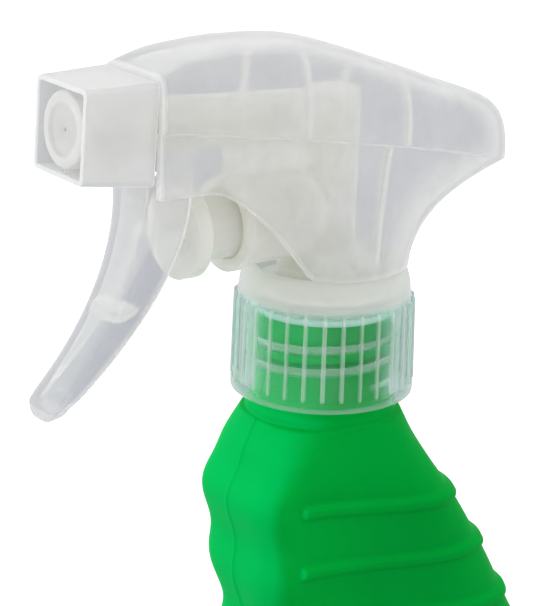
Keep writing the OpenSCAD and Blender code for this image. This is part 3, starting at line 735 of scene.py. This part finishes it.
def across_plates(outline, xs):
    """A solid between flat copies of a (y, z) outline placed at the given x."""
    return loft_data([[(x, y, z + CLOSURE_Z) for y, z in outline] for x in xs])


def circle(y, z, r, steps=24):
    return [(y + r * math.cos(a), z + r * math.sin(a)) for a in np.arange(steps) * 2 * math.pi / steps]


def trigger():
    parts = [blade()]
    for side in (1, -1):
        arm_xs = [side * (TRIGGER_HALF_W - d) for d in (0.1, TRIGGER_WALL - 0.1)]
        parts.append(across_plates(round_corners(ARM, 1.2), arm_xs))
        pin_xs = [side * (TRIGGER_HALF_W - d) for d in (0.6, PIN_REACH)]
        parts.append(across_plates(circle(PIVOT_Y, PIVOT_Z, PIN_R), pin_xs))
    parts.append(across_plates(circle(PAD_Y, PUMP_Z, PAD_R), (-PAD_HALF, PAD_HALF)))
    parts.append(across_plates(round_corners(PAD_RIB, 0.8), (-PAD_RIB_HALF, PAD_RIB_HALF)))
    parts.append(cross_web())
    piece = join_parts("trigger_blade", parts, 40)
    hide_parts("trigger")
    return paint(piece, FROSTED, "trigger")


# ---------- nozzle cap ----------

NOZZLE_TILT = math.radians(3)
NOZZLE_FRONT = (-56.4, 54.9)
NOZZLE_LEN, NOZZLE_HALF_FRONT, NOZZLE_HALF_BACK, NOZZLE_WALL = 13.6, 8.05, 9.05, 0.9


NOZZLE_CORNER_R, NOZZLE_INNER_CORNER_R = 1.3, 0.6
# Rounding of the rims: distance from the end, how far the outline draws in, share of free edge
NOZZLE_RIM = [(0.3, 0, 0), (0.06, 0.08, 1), (0, 0.28, 1), (0, 0.62, 1), (0.06, 0.82, 1), (0.3, 0.9, 0)]


def on_nozzle(x, up, s):
    """A place given across, above and behind the nozzle's front centre, along its tilted axis."""
    c, t = math.cos(NOZZLE_TILT), math.sin(NOZZLE_TILT)
    return (x, NOZZLE_FRONT[0] + s * c + up * t, CLOSURE_Z + NOZZLE_FRONT[1] - s * t + up * c)


def square_ring(half, radius, s):
    corners = [(half, half), (-half, half), (-half, -half), (half, -half)]
    return [on_nozzle(x, up, s) for x, up in round_corners(corners, radius, 7)]


def nozzle_shell():
    """The square tube: over its front rim, back along the inside, over its rear rim, along the outside."""
    slope = (NOZZLE_HALF_BACK - NOZZLE_HALF_FRONT) / NOZZLE_LEN
    along = np.linspace(2, NOZZLE_LEN - 2, 6)
    rows = [(s, inset, NOZZLE_CORNER_R - inset * 0.8, edge) for s, inset, edge in NOZZLE_RIM]
    rows += [(s, NOZZLE_WALL, NOZZLE_INNER_CORNER_R, 0) for s in along]
    rows += [(NOZZLE_LEN - s, inset, NOZZLE_CORNER_R - inset * 0.8, edge)
             for s, inset, edge in reversed(NOZZLE_RIM)]
    rows += [(s, 0, NOZZLE_CORNER_R, 0) for s in reversed(along)]
    rings, edges = [], []
    for s, inset, radius, edge in rows:
        rings.append(square_ring(NOZZLE_HALF_FRONT + slope * s - inset, radius, s))
        edges += [edge] * len(rings[-1])
    verts, faces = loft_data(rings, True)
    return verts, faces, edges


def nozzle_cup():
    """The round sleeve and the dished disc with the orifice at its centre."""
    outline = [(0.4, 1.2), (0.7, 1.1), (3.7, 1.1), (4.2, 1.0), (4.55, 0.75), (4.9, 0.62), (6.0, 0.62),
               (6.4, 0.75), (6.6, 1.1), (6.6, 6), (6.6, 11.7), (6.45, 11.95), (5.85, 11.95), (5.68, 11.8),
               (5.68, 6), (5.68, 2.05), (5.5, 1.9), (0.6, 1.9), (0.4, 1.8)]
    angles = np.linspace(0, 2 * math.pi, 97)[:-1]
    rings = [[on_nozzle(r * math.cos(a), r * math.sin(a), s) for a in angles] for r, s in outline]
    verts, faces = loft_data(rings, True)
    return verts, faces, [0.5 if 4.6 < r < 6.5 and s < 1 else 0 for r, s in outline for _ in angles]


def nozzle_webs():
    """Four flat webs from the sleeve to the middles of the square's sides."""
    near, far, half = 6.3, NOZZLE_HALF_FRONT - 0.5, 0.45
    corners = [(near, half), (far, half), (far, -half), (near, -half)]
    parts = []
    for across, up in ((0, 1), (0, -1), (1, 0), (-1, 0)):
        parts.append(loft_data([[on_nozzle(across * a + up * b, up * a - across * b, s) for a, b in corners]
                                for s in (1.3, 11.4)]))
    return parts


def nozzle_cap():
    piece = join_parts("nozzle_square", [nozzle_shell(), nozzle_cup()] + nozzle_webs())
    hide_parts("nozzle_cap")
    return paint(piece, DENSE, "nozzle")


# ---------- pieces that keep their CAD shape ----------

def keep(node, material, bevel=0.15):
    """Gives a CAD piece its material, smooth shading and, when bevel is set, softened edges in mm."""
    obj = NODES[node]
    obj.data.materials.clear()
    obj.data.materials.append(material)
    obj.data.polygons.foreach_set("use_smooth", [True] * len(obj.data.polygons))
    weld = obj.modifiers.new("weld", "WELD")
    weld.merge_threshold = 2e-6
    if bevel:
        edge = obj.modifiers.new("edges", "BEVEL")
        edge.width = bevel * MM
        edge.segments = 2
        edge.limit_method = "ANGLE"
        edge.angle_limit = math.radians(40)
    obj.data.set_sharp_from_angle(angle=math.radians(35))
    return obj


def keep_cad_pieces():
    for node in ("pump_body", "discharge_barrel", "valve_seat", "piston"):
        keep(node, NATURAL)
    for node in ("spinner", "strainer"):
        keep(node, NATURAL, 0)
    for node in ("piston_seal", "neck_gasket", "vent_seal", "nozzle_seal", "discharge_valve"):
        keep(node, SOFT, 0)
    for node in ("return_spring", "discharge_spring", "inlet_ball"):
        keep(node, STEEL, 0)
    keep("dip_tube", TUBE, 0)


# ---------- stage ----------

SHADE_SEEN_THROUGH = (0.39, 0.41, 0.47)  # painted shade: the dimmer blue-grey that the white backdrop and floor take where seen or lit through the plastic
PAPER, PAPER_LIFT = 0.86, 0.45
WORLD_LIGHT, WORLD_LIFT = 0.93, 0.1  # the lift is how much brighter the backdrop looks than it lights


def behind_plastic(n, path):
    """1 where the camera looks at something through the see-through plastic."""
    return n.math("MULTIPLY", path["Is Camera Ray"], n.math("GREATER_THAN", path["Transparent Depth"], 0.5))


def floor_paper():
    """White paper, except where it is seen through the plastic."""
    n = Nodes("floor_paper")
    path = n.add("ShaderNodeLightPath").outputs
    # painted shade: seen through the plastic, or reached by rays that passed through it, the paper turns to
    # the dimmer colour and loses its lift
    through = n.math("MAXIMUM", path["Is Transmission Ray"], behind_plastic(n, path))
    glow = n.math("SUBTRACT", PAPER_LIFT, n.math("MULTIPLY", through, PAPER_LIFT))
    skin = n.add("ShaderNodeBsdfPrincipled", {
        "Base Color": n.colours(through, (PAPER, PAPER, PAPER), SHADE_SEEN_THROUGH), "Roughness": 0.9,
        "Specular IOR Level": 0.0, "Emission Color": (1, 1, 1, 1),
        "Emission Strength": n.math("MULTIPLY", path["Is Camera Ray"], glow)})
    return n.finish(skin.outputs[0])


def studio_world():
    """An even white backdrop, except where it is seen through the plastic."""
    n = Nodes("studio", world=True)
    path = n.add("ShaderNodeLightPath").outputs
    # painted shade: seen through the plastic, the backdrop turns to the dimmer colour
    colour = n.colours(behind_plastic(n, path), (WORLD_LIGHT, WORLD_LIGHT, WORLD_LIGHT), SHADE_SEEN_THROUGH)
    strength = n.math("ADD", n.math("MULTIPLY", path["Is Camera Ray"], WORLD_LIFT), 1.0)
    return n.finish(n.add("ShaderNodeBackground", {"Color": colour, "Strength": strength}).outputs[0])


def floor():
    bm = bmesh.new()
    bmesh.ops.create_grid(bm, x_segments=8, y_segments=8, size=4.0)
    mesh = bpy.data.meshes.new("floor")
    bm.to_mesh(mesh)
    bm.free()
    obj = bpy.data.objects.new("floor", mesh)
    bpy.context.scene.collection.objects.link(obj)
    obj.data.materials.append(floor_paper())


def area_light(name, size, watts, place, target):
    data = bpy.data.lights.new(name, "AREA")
    data.shape = "RECTANGLE"
    data.size, data.size_y = size
    data.energy = watts
    obj = bpy.data.objects.new(name, data)
    obj.location = place
    obj.rotation_euler = (Vector(target) - Vector(place)).to_track_quat("-Z", "Y").to_euler()
    bpy.context.scene.collection.objects.link(obj)


def lights():
    bpy.context.scene.world = studio_world()
    middle = (0, 0, 0.16)
    area_light("key", (0.6, 0.6), 1.2, (-0.6, -0.9, 0.35), middle)
    area_light("top", (0.5, 0.5), 0.1, (0.2, 0.1, 0.9), middle)


VIEW_AZIMUTH, VIEW_ELEVATION, VIEW_ROLL = 54.33, 17.76, 1.73
VIEW_DISTANCE, LENS, SENSOR_WIDTH = 0.4, 148.65, 36


def camera():
    """The photograph's viewing angle: from ahead and to one side, a little above the head."""
    azimuth, elevation, roll = [math.radians(a) for a in (VIEW_AZIMUTH, VIEW_ELEVATION, VIEW_ROLL)]
    back = Vector((math.sin(azimuth) * math.cos(elevation), -math.cos(azimuth) * math.cos(elevation),
                   math.sin(elevation)))
    target = Vector((-0.0004, -0.0128, CLOSURE_Z * MM + 0.0177))
    data = bpy.data.cameras.new("camera")
    data.lens = LENS
    data.sensor_fit = "HORIZONTAL"
    data.sensor_width = SENSOR_WIDTH
    obj = bpy.data.objects.new("camera", data)
    obj.location = target + back * VIEW_DISTANCE
    turn = back.to_track_quat("Z", "Y").to_matrix() @ Matrix.Rotation(roll, 3, "Z")
    obj.rotation_euler = turn.to_euler()
    bpy.context.scene.collection.objects.link(obj)
    bpy.context.scene.camera = obj


def picture_settings():
    scene = bpy.context.scene
    scene.view_settings.view_transform = "Standard"
    scene.cycles.use_denoising = True
    scene.cycles.max_bounces = 24
    scene.cycles.diffuse_bounces = 10
    scene.cycles.transmission_bounces = 16
    scene.cycles.transparent_max_bounces = 32
    scene.cycles.caustics_refractive = True


bottle_shell()
closure_cap()
shroud_shell()
trigger()
nozzle_cap()
keep_cad_pieces()
floor()
lights()
camera()
picture_settings()
